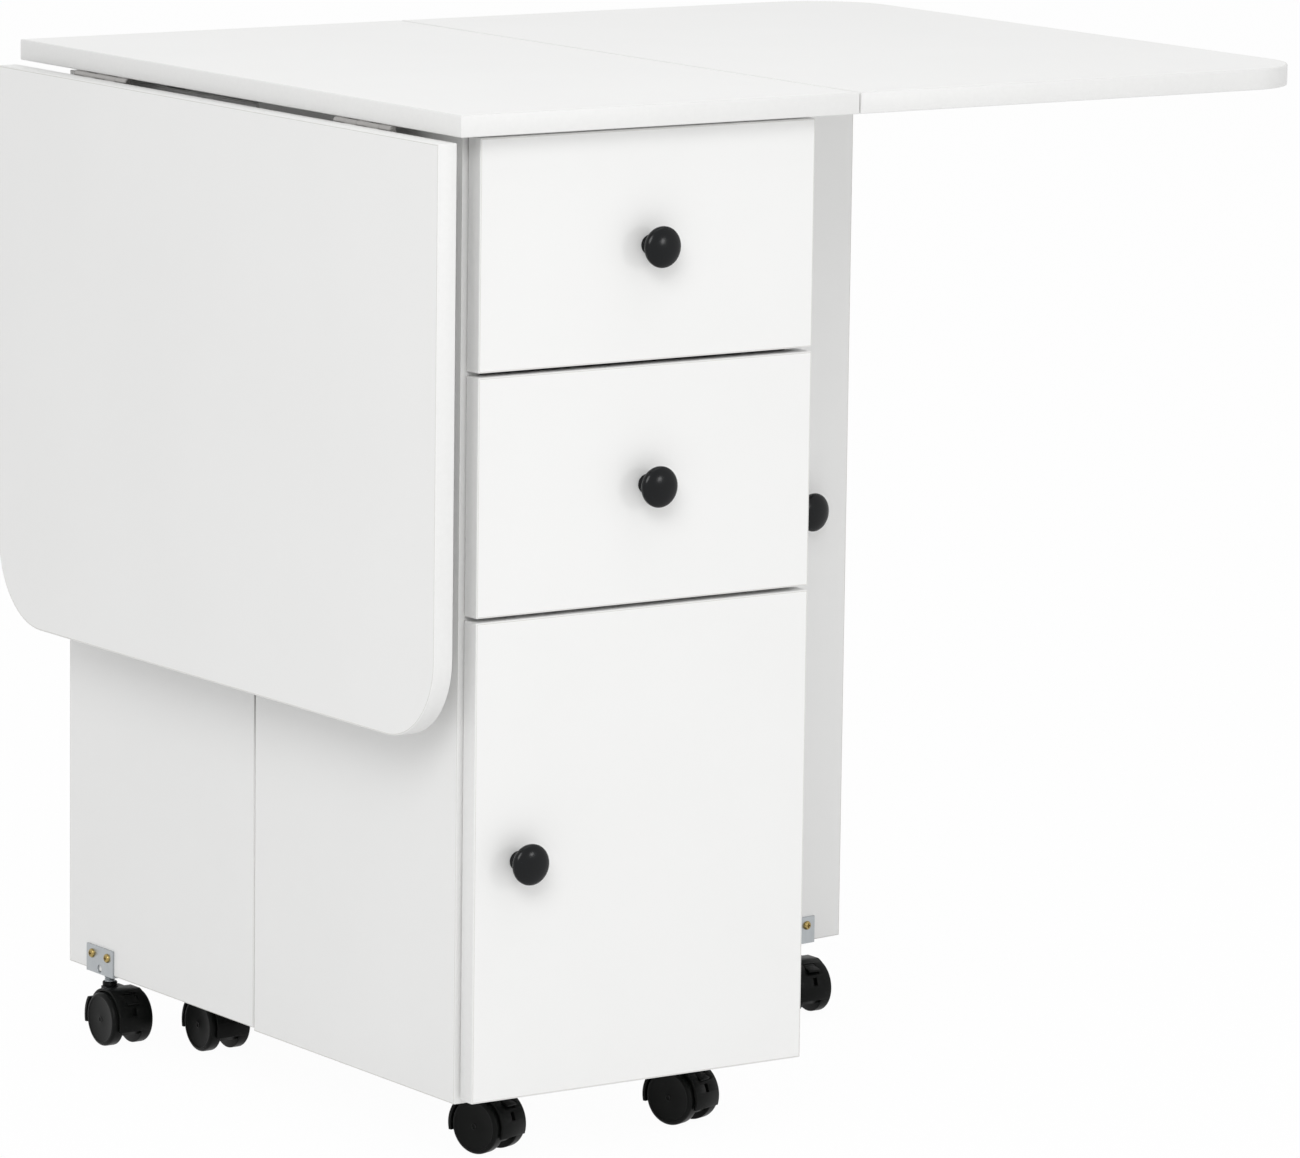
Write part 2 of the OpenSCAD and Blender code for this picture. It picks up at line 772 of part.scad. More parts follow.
module hood(place, turn, brake) {
    color(black) translate(place) rotate([0, 0, turn]) difference() {
        union() {
            across(hood_w) fender_side();
            across(wheels_w - 0.6) guard_side();
            across(web_w) web_side();
            translate([0, 0, wheel_r + 10]) cylinder(r = neck_r, h = neck_top - 10.6);
            translate([0, 0, wheel_r + neck_top - 0.6])
                cylinder(r1 = neck_r, r2 = neck_r - 0.6, h = 0.6);
        }
        translate([-web_w, -trail, wheel_r]) rotate([0, 90, 0])
            cylinder(r = axle_r + run_fit, h = 2 * web_w);
        translate([0, 0, stem_foot_z - 2]) cylinder(r = stem_r + run_fit, h = 40);
        // slot in the back of the hood
        translate([0, -trail - hood_r, wheel_r + slot_up])
            cube([slot_w, 10, slot_h], center = true);
        if (brake) brake_pocket();
    }
}

// Room in the web and the fender for the lever, as far as it swings
module brake_pocket() {
    across(brake_w + 2 * brake_play)
        for (turned = [-brake_press : brake_press / 4 : 0.1])
            lever_side(turned, 0.4);
    across(web_w - 1) translate(brake_pivot) circle(brake_pin_r + run_fit);
}

// The lever's side view, turned from its raised place and grown on every side by room
module lever_side(turned, room = 0) {
    translate(brake_pivot) rotate(tongue_at + turned) {
        circle(brake_root_r + room);
        polygon([
            [0, brake_root_r + room - 0.1], [3, 1.5 + room], [tongue_l + room, 0.9 + room],
            [tongue_l + room, -0.8 - room], [3, -1.2 - room], [0, 0.1 - room - brake_root_r]
        ]);
    }
}

module brake(place, turn, pressed) {
    color(black) translate(place) rotate([0, 0, turn]) {
        across(brake_w) lever_side(pressed ? -brake_press : 0);
        across(web_w - 1.2) translate(brake_pivot) circle(brake_pin_r);
    }
}

// Half the wheel's section, from its bore out: a flat cover inside a low rounded rim,
// and a small mark at the centre
module wheel_section() {
    in = web_w / 2 + 0.4;
    out = wheels_w / 2;
    bore = axle_r + run_fit;
    polygon(concat(
        [[bore, in], [wheel_r - 0.8, in], [wheel_r, in + 0.8]],
        arc([wheel_r - 2.4, out - 2.4], 2.4, 2.4, 0, 90, 4),
        [
            [wheel_r - 2.8, out], [wheel_r - 3.2, out - 0.3], [2.6, out - 0.5],
            [2.3, out - 0.2], [1.5, out - 0.2], [1.2, out - 0.5], [0, out - 0.5],
            [0, out - 3.2], [bore, out - 3.2]
        ]
    ));
}

module wheels(place, turn) {
    color(black) translate(place) rotate([0, 0, turn]) translate([0, -trail, wheel_r]) {
        for (x = [-1, 1]) mirror_x(x) rotate([0, 90, 0]) rotate_extrude() wheel_section();
        rotate([0, 90, 0]) cylinder(r = axle_r, h = wheels_w - 6.6, center = true);
    }
}

front_left_at = [front_stem_xs[0], front_stem_y, 0];
front_right_at = [front_stem_xs[1], front_stem_y, 0];
rear_left_at = [-stem_x, rear_stem_y, 0];
rear_right_at = [stem_x, rear_stem_y, 0];
gate_at = [gate_stem_x, gate_stem_y, 0];

module front_left_hood() { hood(front_left_at, front_caster_turn, true); }
module front_left_wheels() { wheels(front_left_at, front_caster_turn); }
module front_left_brake() { brake(front_left_at, front_caster_turn, false); }
module front_right_hood() { hood(front_right_at, front_caster_turn, true); }
module front_right_wheels() { wheels(front_right_at, front_caster_turn); }
module front_right_brake() { brake(front_right_at, front_caster_turn, true); }
module rear_left_hood() { hood(rear_left_at, 0, false); }
module rear_left_wheels() { wheels(rear_left_at, 0); }
module rear_right_hood() { hood(rear_right_at, 0, false); }
module rear_right_wheels() { wheels(rear_right_at, 0); }
module left_gate_hood() { on_gate(-1) hood(gate_at, 0, true); }
module left_gate_wheels() { on_gate(-1) wheels(gate_at, 0); }
module left_gate_brake() { on_gate(-1) brake(gate_at, 0, true); }
module right_gate_hood() { on_gate(1) hood(gate_at, gate_open, true); }
module right_gate_wheels() { on_gate(1) wheels(gate_at, gate_open); }
module right_gate_brake() { on_gate(1) brake(gate_at, gate_open, false); }

// ---------------------------------------------------------------- pieces

centre_top();
left_side_panel();
right_side_panel();
divider();
back_panel();
front_base();
rear_base();
middle_board();
top_rail();
cupboard_shelf();
rear_shelves();
shelf_pins();
slide_channels();
leaf_hinge_plates();
butt_hinge_plates();
hinge_pins();
caster_stems();
left_leaf();
left_leaf_hinges();
right_leaf();
right_leaf_hinges();
left_gate();
left_gate_hinges();
left_gate_knob();
left_gate_bracket();
left_gate_glide();
right_gate();
right_gate_hinges();
right_gate_knob();
right_gate_bracket();
right_gate_glide();
door();
door_hinges();
door_knob();
upper_drawer_front();
upper_drawer_box();
upper_drawer_bottom();
upper_drawer_slides();
upper_drawer_knob();
lower_drawer_front();
lower_drawer_box();
lower_drawer_bottom();
lower_drawer_slides();
lower_drawer_knob();
front_left_hood();
front_left_wheels();
front_left_brake();
front_right_hood();
front_right_wheels();
front_right_brake();
rear_left_hood();
rear_left_wheels();
rear_right_hood();
rear_right_wheels();
left_gate_hood();
left_gate_wheels();
left_gate_brake();
right_gate_hood();
right_gate_wheels();
right_gate_brake();
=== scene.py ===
"""A white drop-leaf table on twin-wheel casters, dressed for a studio picture.

The file follows the table as it is put together: camera, tops and leaves, leaf
hinges, carcass, drawers, door and gates, knobs, brackets, casters, then the studio.
Lengths are in metres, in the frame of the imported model.
"""
import math

import bmesh
import bpy
from mathutils import Matrix, Vector
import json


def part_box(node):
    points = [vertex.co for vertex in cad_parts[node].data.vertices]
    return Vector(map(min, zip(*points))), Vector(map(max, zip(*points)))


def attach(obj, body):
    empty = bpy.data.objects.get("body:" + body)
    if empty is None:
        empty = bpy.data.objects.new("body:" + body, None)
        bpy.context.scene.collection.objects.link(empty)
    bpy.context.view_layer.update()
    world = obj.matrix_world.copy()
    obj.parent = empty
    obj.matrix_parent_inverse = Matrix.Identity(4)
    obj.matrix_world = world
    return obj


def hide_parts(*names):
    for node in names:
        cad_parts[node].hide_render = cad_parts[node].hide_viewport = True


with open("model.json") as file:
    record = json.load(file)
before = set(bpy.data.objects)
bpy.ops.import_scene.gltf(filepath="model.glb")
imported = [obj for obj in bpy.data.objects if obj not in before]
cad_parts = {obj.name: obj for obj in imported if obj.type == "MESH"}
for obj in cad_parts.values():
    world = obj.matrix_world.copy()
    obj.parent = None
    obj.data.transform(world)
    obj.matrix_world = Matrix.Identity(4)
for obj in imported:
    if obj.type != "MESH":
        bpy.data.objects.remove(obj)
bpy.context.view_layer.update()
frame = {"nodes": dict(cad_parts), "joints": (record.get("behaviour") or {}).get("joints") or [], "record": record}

# ------------------------------------------------------------------ camera
# A long lens at the front left of the table, a little above the table top. Its
# place, direction and length were fitted to the edges seen in the photograph.
camera_target = Vector((0.1860, -0.0175, 0.35447))
camera_distance = 5.5625
camera_azimuth = math.radians(34.529)
camera_elevation = math.radians(9.558)
camera_roll = math.radians(0.762)
camera_lens_mm = 209.59
camera_sensor_mm = 36
camera_far_end = 50

camera_away = Vector((
    -math.sin(camera_azimuth) * math.cos(camera_elevation),
    -math.cos(camera_azimuth) * math.cos(camera_elevation),
    math.sin(camera_elevation),
))
level_right = (-camera_away).cross(Vector((0, 0, 1))).normalized()
level_up = level_right.cross(-camera_away)
camera_right = math.cos(camera_roll) * level_right + math.sin(camera_roll) * level_up
camera_up = math.cos(camera_roll) * level_up - math.sin(camera_roll) * level_right
camera_turn = Matrix((camera_right, camera_up, camera_away)).transposed().to_4x4()
camera_place = Matrix.Translation(camera_target + camera_distance * camera_away)

camera_data = bpy.data.cameras.new("photo_camera")
camera_data.lens = camera_lens_mm
camera_data.sensor_width = camera_sensor_mm
camera_data.clip_end = camera_far_end
camera = bpy.data.objects.new("photo_camera", camera_data)
bpy.context.scene.collection.objects.link(camera)
camera.matrix_world = camera_place @ camera_turn
bpy.context.scene.camera = camera


# ------------------------------------------------------------------ tops and leaves
# The fixed middle top and the two leaves are chipboard with white melamine faces.
# A thin plastic band is glued round each edge and its corners are rounded over, so
# a fine glue line runs just inside every edge.
class Amount:
    """What a socket gives. Python's operators on it add Math nodes."""

    def __init__(self, nodes, socket):
        self.nodes, self.socket = nodes, socket

    def joined(self, operation, *values):
        return self.nodes.node("Math", {"operation": operation}, dict(enumerate(values)))

    def __add__(self, other):
        return self.joined("ADD", self, other)

    def __sub__(self, other):
        return self.joined("SUBTRACT", self, other)

    def __rsub__(self, other):
        return self.joined("SUBTRACT", other, self)

    def __mul__(self, other):
        return self.joined("MULTIPLY", self, other)

    __radd__ = __add__
    __rmul__ = __mul__


class Nodes:
    """A tree of shader nodes, with one method that adds any node."""

    def __init__(self, tree):
        self.tree = tree

    def node(self, kind, settings=None, inputs=None, output=0):
        made = self.tree.nodes.new("ShaderNode" + kind)
        for name, value in (settings or {}).items():
            setattr(made, name, value)
        for name, value in (inputs or {}).items():
            self.feed(made.inputs[name], value)
        return Amount(self, made.outputs[output])

    def feed(self, socket, value):
        if isinstance(value, Amount):
            self.tree.links.new(value.socket, socket)
        else:
            socket.default_value = value


class Finish(Nodes):
    """A material on Object coordinates, and what varies over its surface."""

    # A Mix node's sockets share their names, so its colour ones go by number.
    factor_in, first_in, second_in, colour_out = 0, 6, 7, 2

    def __init__(self, name, colour, roughness, metallic=0.0):
        self.material = bpy.data.materials.new(name)
        self.material.use_nodes = True
        self.material.diffuse_color = (*colour, 1)
        super().__init__(self.material.node_tree)
        self.shader = self.tree.nodes["Principled BSDF"]
        self.roughness = roughness
        self.set("Base Color", (*colour, 1))
        self.set("Roughness", roughness)
        self.set("Metallic", metallic)
        self.place = self.node("TexCoord", output="Object")

    def set(self, name, value):
        self.feed(self.shader.inputs[name], value)

    def noise(self, scale, detail=2.0, rough=0.5, place=None):
        return self.node("TexNoise", inputs={
            "Vector": place or self.place,
            "Scale": scale,
            "Detail": detail,
            "Roughness": rough,
        })

    def coloured(self, amount, first, second):
        """Blends the base colour between two, over an amount from 0 to 1."""
        ends = {self.first_in: (*first, 1), self.second_in: (*second, 1)}
        blend = self.node(
            "Mix", {"data_type": "RGBA"}, {self.factor_in: amount, **ends}, self.colour_out
        )
        self.set("Base Color", blend)

    def roughened(self, amount, spread):
        """Spreads the roughness about its middle, over an amount from 0 to 1."""
        self.set("Roughness", self.roughness + spread * (amount - 0.5))

    def bump(self, height, depth, strength):
        inputs = {"Height": height, "Distance": depth, "Strength": strength}
        self.set("Normal", self.node("Bump", inputs=inputs))


# Decor paper under resin: fine pebbles, and a faint cloudiness.
white_face = Finish("white_melamine", (0.86, 0.86, 0.853), 0.44)
cloud = white_face.noise(scale=9.0, detail=3.0)
pebble = white_face.noise(scale=1500.0, rough=0.6)
white_face.coloured(0.7 * cloud + 0.3 * pebble, (0.825, 0.825, 0.817), (0.86, 0.86, 0.853))
white_face.roughened(pebble, spread=0.12)
soft_pebble = white_face.noise(scale=420.0, detail=1.0)
white_face.bump(pebble + 0.5 * soft_pebble, depth=0.00006, strength=0.35)

white_band = Finish("white_edge_band", (0.79, 0.79, 0.782), 0.37)
grain = white_band.noise(scale=260.0, detail=3.0)
white_band.coloured(grain, (0.765, 0.765, 0.757), (0.805, 0.805, 0.797))
white_band.roughened(grain, spread=0.1)
white_band.bump(grain, depth=0.00005, strength=0.3)

glue_line = Finish("glue_line", (0.60, 0.59, 0.56), 0.6)
glue_line.coloured(glue_line.noise(scale=700.0), (0.56, 0.55, 0.51), (0.68, 0.67, 0.64))

board_finishes = (white_face, white_band, glue_line)
face_slot, band_slot, line_slot = 0, 1, 2

body_of = {
    node: body
    for body, nodes in frame["record"]["behaviour"]["bodies"].items()
    for node in nodes
}
weld_distance = 0.000002
same_plane = math.radians(0.3)


def welded(node):
    """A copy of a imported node's mesh, its triangles joined into whole faces."""
    made = bmesh.new()
    made.from_mesh(frame["nodes"][node].data)
    bmesh.ops.remove_doubles(made, verts=made.verts, dist=weld_distance)
    bmesh.ops.dissolve_limit(
        made, angle_limit=same_plane, verts=made.verts, edges=made.edges
    )
    return made


def placed(made, name, body, finishes, nodes=(), sharp=35):
    """Makes the finished piece from a mesh, and hides the nodes that it stands for.

    Edges above an angle in degrees stay sharp. With None, the mesh's own marks hold.
    """
    mesh = bpy.data.meshes.new(name)
    made.to_mesh(mesh)
    made.free()
    for finish in finishes:
        mesh.materials.append(finish.material)
    if sharp is not None:
        mesh.shade_smooth()
        mesh.set_sharp_from_angle(angle=math.radians(sharp))
    piece = bpy.data.objects.new(name, mesh)
    bpy.context.scene.collection.objects.link(piece)
    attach(piece, body)
    if nodes:
        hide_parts(*nodes)


def round_over(made, edges, offset, segments):
    """Rounds edges over, from an offset to each side of them."""
    bmesh.ops.bevel(
        made, geom=edges, offset=offset, offset_type="OFFSET", segments=segments,
        profile=0.5, affect="EDGES", material=-1, clamp_overlap=True,
    )


corner_angle = math.radians(30)
step_area = 0.00002
recess_length = 0.07
faces_along = 0.9999


def is_corner(edge):
    """Tells a board's own edges from those of its bores and hinge recesses."""
    if not edge.is_manifold or edge.calc_face_angle() < corner_angle:
        return False
    if min(face.calc_area() for face in edge.link_faces) < step_area:
        return False
    beside_step = all(
        any(face.calc_area() < step_area for face in vert.link_faces) for vert in edge.verts
    )
    return edge.calc_length() > recess_length or not beside_step


def banded_board(node, rounding=0.0008, line=0.00035):
    """A board with rounded edge bands and the glue line inside them."""
    made = welded(node)
    widest = max(made.faces, key=lambda face: face.calc_area())
    across = widest.normal.copy()
    round_over(made, [edge for edge in made.edges if is_corner(edge)], rounding, segments=3)
    made.normal_update()
    flats = [face for face in made.faces if abs(face.normal.dot(across)) > faces_along]
    for face in made.faces:
        face.material_index = band_slot
        face.smooth = True
    for face in flats:
        face.material_index = face_slot
    ring = bmesh.ops.inset_region(
        made, faces=flats, thickness=line, use_even_offset=True, use_boundary=True
    )
    for face in ring["faces"]:
        face.material_index = line_slot
    for edge in made.edges:
        edge.smooth = all(face.material_index == band_slot for face in edge.link_faces)
    placed(
        made, node + "_board", body_of[node], board_finishes, [node],
        sharp=None,
    )


for node in ("centre_top", "left_leaf", "right_leaf"):
    banded_board(node)


# ------------------------------------------------------------------ leaf hinges
# Two pressed steel hinges carry each leaf: plates under the boards, knuckles in the
# seam and a headed pin. Three countersunk screws hold each plate.
def zinc(name, pale, dull, roughness):
    """Plated steel: bright, a little cloudy, with fine rolling marks."""
    finish = Finish(name, pale, roughness, metallic=1.0)
    cloud = finish.noise(scale=140.0, detail=4.0, rough=0.6)
    rolled = finish.node("Mapping", inputs={"Vector": finish.place, "Scale": (1, 14, 1)})
    marks = finish.noise(scale=90.0, place=rolled)
    finish.coloured(0.6 * cloud + 0.4 * marks, dull, pale)
    finish.roughened(cloud, spread=0.2)
    finish.bump(marks, depth=0.00003, strength=0.3)
    return finish


plated_steel = zinc("zinc_plated_steel", (0.50, 0.525, 0.54), (0.37, 0.39, 0.405), 0.36)
slide_steel = zinc("slide_steel", (0.70, 0.72, 0.74), (0.56, 0.58, 0.60), 0.40)
# The leaf hinges' steel is painted darker than the other plated steel. This is painted shade, for the shade under
# the boards where the hinges sit.
hinge_steel = zinc("hinge_steel", (0.46, 0.45, 0.44), (0.30, 0.29, 0.28), 0.36)
yellow_zinc = zinc("yellow_zinc", (0.50, 0.38, 0.15), (0.28, 0.20, 0.07), 0.34)


def coat(node, finish):
    """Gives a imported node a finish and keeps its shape."""
    for place in frame["nodes"][node].material_slots:
        place.material = finish.material


# The leaf hinges take the steel with the painted shade.
for node in ("leaf_hinge_plates", "left_leaf_hinges", "right_leaf_hinges", "hinge_pins"):
    coat(node, hinge_steel)


def screw_head(made, matrix, radius, height, recess):
    """A domed head with a cross recess, its seat on the matrix's XY plane."""
    step = 15
    angles = range(0, 360, step)
    arm, half_arm = 0.52 * radius, 0.14 * radius
    dome = ((1.0, 0.25), (0.86, 0.7), (0.62, 1.0))
    cross_rise, floor_share = 1.02, 0.8

    def cross(angle):
        """How far out the edge of the cross is, at an angle in degrees."""
        off = math.radians(min(angle % 90, 90 - angle % 90))
        end = arm / math.cos(off)
        return min(end, half_arm / math.sin(off)) if off else end

    def raised(edges, reach, up):
        """Extrudes a ring of edges to a height and to a reach at each angle."""
        grown = bmesh.ops.extrude_edge_only(made, edges=edges)["geom"]
        verts = [part for part in grown if isinstance(part, bmesh.types.BMVert)]
        for vert in verts:
            degrees = math.degrees(math.atan2(vert.co.y, vert.co.x))
            angle = round(degrees / step) * step % 360
            turn = math.radians(angle)
            vert.co = (reach[angle] * math.cos(turn), reach[angle] * math.sin(turn), up)
        everything.extend(verts)
        return [part for part in grown if isinstance(part, bmesh.types.BMEdge)]

    seat = bmesh.ops.create_circle(
        made, cap_ends=True, segments=len(angles), radius=radius
    )["verts"]
    everything = list(seat)
    edges = list({edge for vert in seat for edge in vert.link_edges})
    for share, rise in dome:
        edges = raised(edges, dict.fromkeys(angles, radius * share), height * rise)
    edges = raised(edges, {angle: cross(angle) for angle in angles}, height * cross_rise)
    floor_reach = {angle: cross(angle) * floor_share for angle in angles}
    edges = raised(edges, floor_reach, height - recess)
    bmesh.ops.holes_fill(made, edges=edges, sides=len(angles))
    bmesh.ops.transform(made, matrix=matrix, verts=everything)
    bmesh.ops.recalc_face_normals(made, faces=made.faces)


def pointing(place, direction):
    """A matrix that stands +Z along a direction at a place."""
    z = Vector(direction).normalized()
    near_upright = abs(z.z) > 0.9
    side = Vector((0, 1, 0)) if near_upright else Vector((0, 0, 1))
    x = side.cross(z).normalized()
    return Matrix.Translation(place) @ Matrix((x, z.cross(x), z)).transposed().to_4x4()


leaf_hinge_length = 0.072
leaf_plate_thickness = 0.0012
knuckle_radius = 0.0023
leaf_screw_spacing = 0.026
outer_screw_reach, middle_screw_reach = 0.0125, 0.0165


def leaf_screw_place(name, node, y, reach):
    """Where a screw sits on its plate, at a reach from the pin."""
    low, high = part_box(node)
    under = high.z - leaf_plate_thickness
    if name == "left_leaf_screws":
        return low.x + leaf_plate_thickness, y, high.z - knuckle_radius - reach
    if name == "right_leaf_screws":
        return low.x + knuckle_radius + reach, y, under
    side = -1 if name == "fixed_left_hinge_screws" else 1
    return side * (high.x - knuckle_radius - reach), y, under


for name, body, node, direction in (
    ("fixed_left_hinge_screws", "cabinet", "leaf_hinge_plates", (0, 0, -1)),
    ("fixed_right_hinge_screws", "cabinet", "leaf_hinge_plates", (0, 0, -1)),
    ("left_leaf_screws", "left_leaf", "left_leaf_hinges", (1, 0, 0)),
    ("right_leaf_screws", "right_leaf", "right_leaf_hinges", (0, 0, -1)),
):
    made = bmesh.new()
    for end in (-1, 1):
        middle_y = end * (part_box(node)[1].y - leaf_hinge_length / 2)
        for step in (-1, 0, 1):
            y = middle_y + step * leaf_screw_spacing
            reach = outer_screw_reach if step else middle_screw_reach
            place = leaf_screw_place(name, node, y, reach)
            seat = pointing(place, direction)
            screw_head(made, seat, radius=0.0029, height=0.0006, recess=0.0005)
    placed(made, name, body, [plated_steel])


# ------------------------------------------------------------------ carcass
# Side panels, divider, back, bases, rails and shelves are the same board as the
# top. The loose shelves lie on turned steel pins.
for node in (
    "left_side_panel", "right_side_panel", "divider", "back_panel", "front_base",
    "rear_base", "middle_board", "top_rail", "cupboard_shelf", "rear_shelves",
):
    banded_board(node)
coat("shelf_pins", plated_steel)


# ------------------------------------------------------------------ drawers
# Each drawer has a banded front, a box of thinner board with a hardboard bottom in
# a groove, and a steel slide on both sides that runs in a channel on the panel.
hardboard = Finish("white_hardboard", (0.80, 0.80, 0.785), 0.5)
speckle = hardboard.noise(scale=900.0, detail=3.0, rough=0.7)
hardboard.coloured(speckle, (0.76, 0.755, 0.735), (0.83, 0.83, 0.82))
hardboard.roughened(speckle, spread=0.16)
hardboard.bump(speckle, depth=0.00008, strength=0.4)

for drawer in ("upper_drawer", "lower_drawer"):
    banded_board(drawer + "_front")
    banded_board(drawer + "_box", rounding=0.0005, line=0.0003)
    coat(drawer + "_bottom", hardboard)
    coat(drawer + "_slides", slide_steel)
coat("slide_channels", slide_steel)


# ------------------------------------------------------------------ door and gates
# The cupboard door and the two gate doors are single banded boards. They hang on
# butt hinges whose plates lie between the boards' edges.
for node in ("door", "left_gate", "right_gate"):
    banded_board(node)
for node in ("butt_hinge_plates", "door_hinges", "left_gate_hinges", "right_gate_hinges"):
    coat(node, plated_steel)


# ------------------------------------------------------------------ knobs
# Turned mushroom knobs in gloss black: a flared foot, a waist and a domed cap. A
# machine screw comes through the board from behind.
gloss_black = Finish("gloss_black", (0.0013, 0.0020, 0.0027), 0.26)
lacquer = gloss_black.noise(scale=180.0)
gloss_black.coloured(lacquer, (0.0008, 0.0014, 0.0020), (0.0018, 0.0026, 0.0034))
gloss_black.roughened(lacquer, spread=0.08)
gloss_black.bump(lacquer, depth=0.00004, strength=0.3)
gloss_black.set("Specular IOR Level", 0.02)
gloss_black.set("Coat Weight", 0.46)
gloss_black.set("Coat Roughness", 0.18)


def turned(profile, steps):
    """A solid turned about Z from points of (radius, height)."""
    made = bmesh.new()
    verts = [made.verts.new((radius, 0, height)) for radius, height in profile]
    edges = [made.edges.new(pair) for pair in zip(verts, verts[1:])]
    bmesh.ops.spin(
        made, geom=verts + edges, cent=(0, 0, 0), axis=(0, 0, 1), dvec=(0, 0, 0),
        angle=2 * math.pi, steps=steps, use_merge=True, use_duplicate=False,
    )
    bmesh.ops.remove_doubles(made, verts=made.verts, dist=weld_distance / 2)
    bmesh.ops.recalc_face_normals(made, faces=made.faces)
    return made


def moved(made, matrix):
    """Moves a whole mesh. Its faces still look outwards where the matrix mirrors."""
    bmesh.ops.transform(made, matrix=matrix, verts=made.verts)
    bmesh.ops.recalc_face_normals(made, faces=made.faces)


def arc(x, y, reach_x, reach_y, start, end, steps):
    """Points of an elliptic arc, from one angle in degrees to another."""
    angles = [math.radians(start + (end - start) * i / steps) for i in range(steps + 1)]
    return [(x + reach_x * math.cos(a), y + reach_y * math.sin(a)) for a in angles]


knob_height, knob_radius = 0.022, 0.0145
knob_rim = 0.77 * knob_height
knob_under = 0.6 * knob_height
foot_radius, foot_rounding, foot_height = 0.0070, 0.0008, 0.0009
waist_radius, hollow_z = 0.0055, 0.0052
hollow_reach, hollow_rise = 0.0037, 0.0040
flare_reach, flare_rise = 0.0040, 0.0022
cap_rounding, cap_lip = 0.0015, 0.0005
rim_rise = knob_rim - knob_under - cap_lip
knob_profile = (
    [(0, 0), (foot_radius - foot_rounding / 2, 0)]
    + arc(
        foot_radius - foot_rounding, foot_height, foot_rounding, foot_rounding,
        -60, 60, 4,
    )
    + arc(waist_radius + hollow_reach, hollow_z, hollow_reach, hollow_rise, 200, 150, 6)
    + [(waist_radius, knob_under - flare_rise)]
    + arc(
        waist_radius + flare_reach, knob_under - flare_rise, flare_reach, flare_rise,
        180, 110, 5,
    )
    + arc(knob_radius - cap_rounding, knob_rim, cap_rounding, rim_rise, -80, 0, 5)
    + arc(0, knob_rim, knob_radius, knob_height - knob_rim, 8, 90, 14)
)

joint_of = {joint["name"]: joint for joint in frame["joints"]}
board_thickness = 0.015


def on_gate(side):
    """Takes what is placed on the closed right gate to either gate as it stands."""
    if side == "left":
        return Matrix.Diagonal((-1, 1, 1, 1))
    swing = joint_of["right_gate_swing"]
    pivot = Matrix.Translation(swing["pos_m"])
    turn = Matrix.Rotation(-math.radians(swing["range_deg"][1]), 4, "Z")
    return pivot @ turn @ pivot.inverted()


def fitted_knob(node, place, out, stand=Matrix()):
    """A knob that stands out of a board at a place, and the screw behind it."""
    out = Vector(out)
    made = turned(knob_profile, steps=64)
    moved(made, stand @ pointing(place, out))
    placed(
        made, node + "_turned", body_of[node], [gloss_black], [node],
        sharp=50,
    )
    made = bmesh.new()
    behind = stand @ pointing(place - board_thickness * out, -out)
    screw_head(made, behind, radius=0.0042, height=0.0018, recess=0.0009)
    placed(made, node + "_screw", body_of[node], [plated_steel])


for node in ("upper_drawer_knob", "lower_drawer_knob", "door_knob"):
    low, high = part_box(node)
    place = Vector(((low.x + high.x) / 2, high.y, (low.z + high.z) / 2))
    fitted_knob(node, place, (0, -1, 0))

low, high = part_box("left_gate_knob")
gate_knob_place = Vector((-high.x, (low.y + high.y) / 2, (low.z + high.z) / 2))
for side in ("left", "right"):
    fitted_knob(side + "_gate_knob", gate_knob_place, (1, 0, 0), on_gate(side))


# ------------------------------------------------------------------ gate brackets
# A bent steel angle with two yellow-plated screws carries each gate's caster, whose
# threaded stem goes up into the gate. A black glide on the top edge meets the leaf.
nylon = Finish("black_nylon", (0.0046, 0.0050, 0.0047), 0.36)
grain = nylon.noise(scale=700.0, detail=3.0, rough=0.6)
dust = nylon.noise(scale=60.0, detail=4.0, rough=0.6)
nylon.coloured(0.6 * dust + 0.4 * grain, (0.0032, 0.0036, 0.0033), (0.0062, 0.0067, 0.0063))
nylon.roughened(2 / 3 * grain + 1 / 3 * dust, spread=0.18)
nylon.bump(grain, depth=0.00005, strength=0.35)
nylon.set("Specular IOR Level", 0.09)

left_stem_x, gate_stem_y, _ = joint_of["left_gate_swivel"]["pos_m"]
gate_stem_place = Vector((-left_stem_x, gate_stem_y, 0))
bracket_face_x = 0.1440
bracket_screw_z = 0.0645
bracket_screw_ys = (gate_stem_y - 0.011, gate_stem_y + 0.011)
gate_stem_top_z = 0.0619
cabinet_stem_top_z = 0.060
stem_thread_z = 0.0452
stem_foot_z = 0.036


def threaded_stem(low_z, high_z):
    """The stem's plain foot, and rings for the thread above it."""
    crest, root, pitch = 0.004, 0.00345, 0.00125
    root_from, root_to = 0.35 * pitch, 0.5 * pitch
    profile = [(0, low_z), (crest, low_z), (crest, stem_thread_z)]
    z = stem_thread_z
    while z + pitch < high_z:
        profile += [(root, z + root_from), (root, z + root_to), (crest, z + pitch)]
        z += pitch
    profile += [(root, high_z), (0, high_z)]
    return turned(profile, steps=32)


def largest_solid(made):
    """Deletes every solid of a mesh but the one with the largest face."""
    waiting = [max(made.faces, key=lambda face: face.calc_area())]
    solid = set(waiting)
    while waiting:
        near = {face for edge in waiting.pop().edges for face in edge.link_faces} - solid
        solid |= near
        waiting += near
    others = [face for face in made.faces if face not in solid]
    bmesh.ops.delete(made, geom=others, context="FACES")


def softened(made, offset, above=40):
    """Rounds every edge that is sharper than an angle in degrees."""
    sharp = [
        edge for edge in made.edges
        if edge.is_manifold and edge.calc_face_angle() > math.radians(above)
    ]
    round_over(made, sharp, offset, segments=2)


